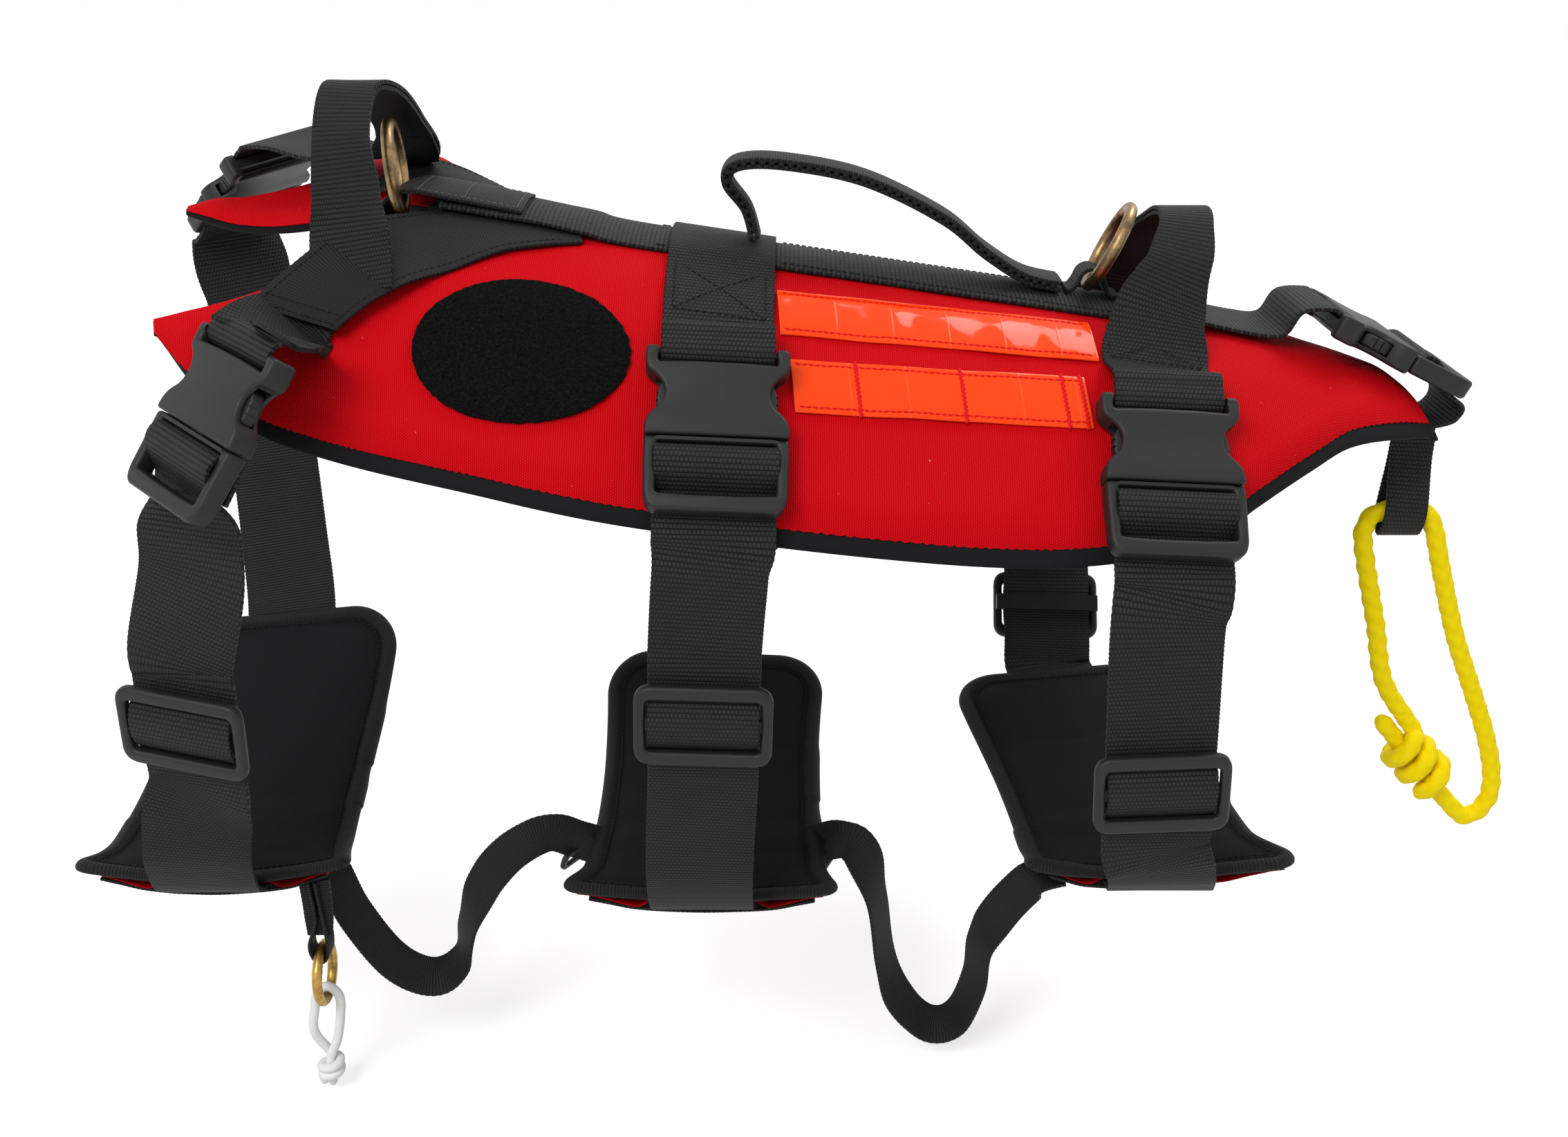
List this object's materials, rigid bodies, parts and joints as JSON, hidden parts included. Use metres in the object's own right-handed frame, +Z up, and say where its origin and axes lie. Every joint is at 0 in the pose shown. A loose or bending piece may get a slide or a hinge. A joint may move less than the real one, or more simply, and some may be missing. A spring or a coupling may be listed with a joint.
{
  "type": "dog lifting harness",
  "caption": "Padded red dog lifting harness with girth straps, quick-release buckles, adjusters, belly pads, carrying handle, grab loops, rings and a pull rope.",
  "frame": {"origin": "on the dog's back, under the spine webbing, midway between the front and the rear of the harness", "axes": "+X towards the tail, +Y towards the dog's right side, +Z up"},
  "size_m": [0.7347, 0.3541, 0.4947],
  "materials": {
    "red_cloth": "woven, matt",
    "black_lining": "smooth stretch cloth over foam, matt",
    "black_webbing": "woven polyester webbing",
    "grey_plastic": "moulded acetal, satin",
    "aged_brass": "antique brass plating, worn",
    "loop_pile": "loop fastener pile",
    "orange_vinyl": "glossy fluorescent vinyl",
    "yellow_rope": "braided polypropylene rope",
    "white_cord": "braided cord"
  },
  "bodies": {
    "harness": {"left_lining": "black_lining", "left_cover": "red_cloth", "right_lining": "black_lining", "right_cover": "red_cloth", "front_left_socket": "grey_plastic", "front_right_socket": "grey_plastic", "mid_left_socket": "grey_plastic", "mid_right_socket": "grey_plastic", "rear_left_socket": "grey_plastic", "rear_right_socket": "grey_plastic", "tail_socket": "grey_plastic", "mid_saddle_strap": "black_webbing", "rear_saddle_strap": "black_webbing", "front_grab_loop": "black_webbing", "spine_webbing": "black_webbing", "left_yoke": "black_webbing", "right_yoke": "black_webbing", "top_handle": "black_webbing", "front_ring_tab": "black_webbing", "rear_ring_tab": "black_webbing", "loop_patch": "loop_pile", "upper_strip": "orange_vinyl", "lower_strip": "orange_vinyl", "front_girth_strap": "black_webbing", "front_pad": "black_lining", "mid_girth_strap": "black_webbing", "mid_pad": "black_lining", "rear_girth_strap": "black_webbing", "rear_pad": "black_lining", "front_link_strap": "black_webbing", "rear_link_strap": "black_webbing", "belly_ring_tab": "black_webbing", "tail_strap": "black_webbing", "tail_end_strap": "black_webbing"},
    "front_left_plug": {"front_left_plug": "grey_plastic"},
    "front_left_prong_a": {"front_left_prong_a": "grey_plastic"},
    "front_left_prong_b": {"front_left_prong_b": "grey_plastic"},
    "front_right_plug": {"front_right_plug": "grey_plastic"},
    "mid_left_plug": {"mid_left_plug": "grey_plastic"},
    "mid_left_prong_a": {"mid_left_prong_a": "grey_plastic"},
    "mid_left_prong_b": {"mid_left_prong_b": "grey_plastic"},
    "mid_right_plug": {"mid_right_plug": "grey_plastic"},
    "rear_left_plug": {"rear_left_plug": "grey_plastic"},
    "rear_left_prong_a": {"rear_left_prong_a": "grey_plastic"},
    "rear_left_prong_b": {"rear_left_prong_b": "grey_plastic"},
    "rear_right_plug": {"rear_right_plug": "grey_plastic"},
    "tail_plug": {"tail_plug": "grey_plastic"},
    "front_left_slider": {"front_left_slider": "grey_plastic"},
    "front_right_slider": {"front_right_slider": "grey_plastic"},
    "mid_left_slider": {"mid_left_slider": "grey_plastic"},
    "mid_right_slider": {"mid_right_slider": "grey_plastic"},
    "rear_left_slider": {"rear_left_slider": "grey_plastic"},
    "rear_right_slider": {"rear_right_slider": "grey_plastic"},
    "front_ring": {"front_ring": "aged_brass"},
    "rear_ring": {"rear_ring": "aged_brass"},
    "belly_ring": {"belly_ring": "aged_brass", "belly_cord": "white_cord"},
    "pull": {"pull_tab": "black_webbing", "pull_rope": "yellow_rope"}
  },
  "joints": [
    {"name": "front_left_release", "type": "slide", "parent": "harness", "child": "front_left_plug", "axis": [-0.4615, -0.3561, -0.8126], "range_m": [0, 0.03], "deforming": ["front_girth_strap"]},
    {"name": "front_left_prong_a_squeeze", "type": "hinge", "parent": "front_left_plug", "child": "front_left_prong_a", "pos_m": [-0.25547, -0.1301, -0.03457], "axis": [-0.5541, -0.5996, 0.5775], "range_deg": [-8, 0], "stiffness_Nm_per_rad": 0.01},
    {"name": "front_left_prong_b_squeeze", "type": "hinge", "parent": "front_left_plug", "child": "front_left_prong_b", "pos_m": [-0.23053, -0.1559, -0.03743], "axis": [-0.5541, -0.5996, 0.5775], "range_deg": [0, 8], "stiffness_Nm_per_rad": 0.01},
    {"name": "front_right_release", "type": "slide", "parent": "harness", "child": "front_right_plug", "axis": [-0.5733, 0.6135, -0.5431], "range_m": [0, 0.03], "deforming": ["front_girth_strap"]},
    {"name": "mid_left_release", "type": "slide", "parent": "harness", "child": "mid_left_plug", "axis": [-0.0058, -0.6502, -0.7598], "range_m": [0, 0.03], "deforming": ["mid_girth_strap"]},
    {"name": "mid_left_prong_a_squeeze", "type": "hinge", "parent": "mid_left_plug", "child": "mid_left_prong_a", "pos_m": [-0.04721, -0.12114, -0.0453], "axis": [0.097, -0.7565, 0.6467], "range_deg": [-8, 0], "stiffness_Nm_per_rad": 0.01},
    {"name": "mid_left_prong_b_squeeze", "type": "hinge", "parent": "mid_left_plug", "child": "mid_left_prong_b", "pos_m": [-0.01138, -0.11862, -0.04772], "axis": [0.097, -0.7565, 0.6467], "range_deg": [0, 8], "stiffness_Nm_per_rad": 0.01},
    {"name": "mid_right_release", "type": "slide", "parent": "harness", "child": "mid_right_plug", "axis": [-0.0058, 0.6502, -0.7598], "range_m": [0, 0.03], "deforming": ["mid_girth_strap"]},
    {"name": "rear_left_release", "type": "slide", "parent": "harness", "child": "rear_left_plug", "axis": [-0.0056, -0.6709, -0.7415], "range_m": [0, 0.03], "deforming": ["rear_girth_strap"]},
    {"name": "rear_left_prong_a_squeeze", "type": "hinge", "parent": "rear_left_plug", "child": "rear_left_prong_a", "pos_m": [0.15385, -0.11488, -0.06826], "axis": [0.1001, -0.7382, 0.6671], "range_deg": [-8, 0], "stiffness_Nm_per_rad": 0.01},
    {"name": "rear_left_prong_b_squeeze", "type": "hinge", "parent": "rear_left_plug", "child": "rear_left_prong_b", "pos_m": [0.18967, -0.11234, -0.07082], "axis": [0.1001, -0.7382, 0.6671], "range_deg": [0, 8], "stiffness_Nm_per_rad": 0.01},
    {"name": "rear_right_release", "type": "slide", "parent": "harness", "child": "rear_right_plug", "axis": [-0.0056, 0.6709, -0.7415], "range_m": [0, 0.03], "deforming": ["rear_girth_strap"]},
    {"name": "tail_release", "type": "slide", "parent": "harness", "child": "tail_plug", "axis": [0.898, 0, -0.44], "range_m": [0, 0.03], "deforming": ["tail_end_strap"]},
    {"name": "front_left_slider_shift", "type": "slide", "parent": "harness", "child": "front_left_slider", "axis": [-0.0441, 0.1103, -0.9929], "range_m": [-0.015, 0.015], "deforming": ["front_girth_strap"]},
    {"name": "front_right_slider_shift", "type": "slide", "parent": "harness", "child": "front_right_slider", "axis": [0.0398, -0.0994, -0.9942], "range_m": [-0.015, 0.015], "deforming": ["front_girth_strap"]},
    {"name": "mid_left_slider_shift", "type": "slide", "parent": "harness", "child": "mid_left_slider", "axis": [-0.0333, 0.0554, -0.9979], "range_m": [-0.015, 0.015], "deforming": ["mid_girth_strap"]},
    {"name": "mid_right_slider_shift", "type": "slide", "parent": "harness", "child": "mid_right_slider", "axis": [-0.0625, -0.3436, -0.937], "range_m": [-0.015, 0.015], "deforming": ["mid_girth_strap"]},
    {"name": "rear_left_slider_shift", "type": "slide", "parent": "harness", "child": "rear_left_slider", "axis": [0.0444, 0.0444, -0.998], "range_m": [-0.015, 0.015], "deforming": ["rear_girth_strap"]},
    {"name": "rear_right_slider_shift", "type": "slide", "parent": "harness", "child": "rear_right_slider", "axis": [-0.0256, -0.5895, -0.8074], "range_m": [-0.015, 0.015], "deforming": ["rear_girth_strap"]},
    {"name": "front_ring_swing", "type": "hinge", "parent": "harness", "child": "front_ring", "pos_m": [-0.1835, 0, 0.0314], "axis": [-0.1005, 0.9949, 0], "range_deg": [-40, 25]},
    {"name": "rear_ring_swing", "type": "hinge", "parent": "harness", "child": "rear_ring", "pos_m": [0.1484, 0, -0.0046], "axis": [0.1014, 0.9936, -0.0507], "range_deg": [-40, 5]},
    {"name": "belly_ring_swing", "type": "hinge", "parent": "harness", "child": "belly_ring", "pos_m": [-0.2315, -0.105, -0.317], "axis": [0, 1, 0], "range_deg": [-40, 40]},
    {"name": "pull_tab_swing", "type": "hinge", "parent": "harness", "child": "pull", "pos_m": [0.317, -0.0045, -0.073], "axis": [1, 0, 0], "range_deg": [-20, 20]}
  ],
  "couplings": [
    {"joint": "front_left_prong_b_squeeze", "follows": "front_left_prong_a_squeeze", "ratio": -1},
    {"joint": "mid_left_prong_b_squeeze", "follows": "mid_left_prong_a_squeeze", "ratio": -1},
    {"joint": "rear_left_prong_b_squeeze", "follows": "rear_left_prong_a_squeeze", "ratio": -1}
  ]
}
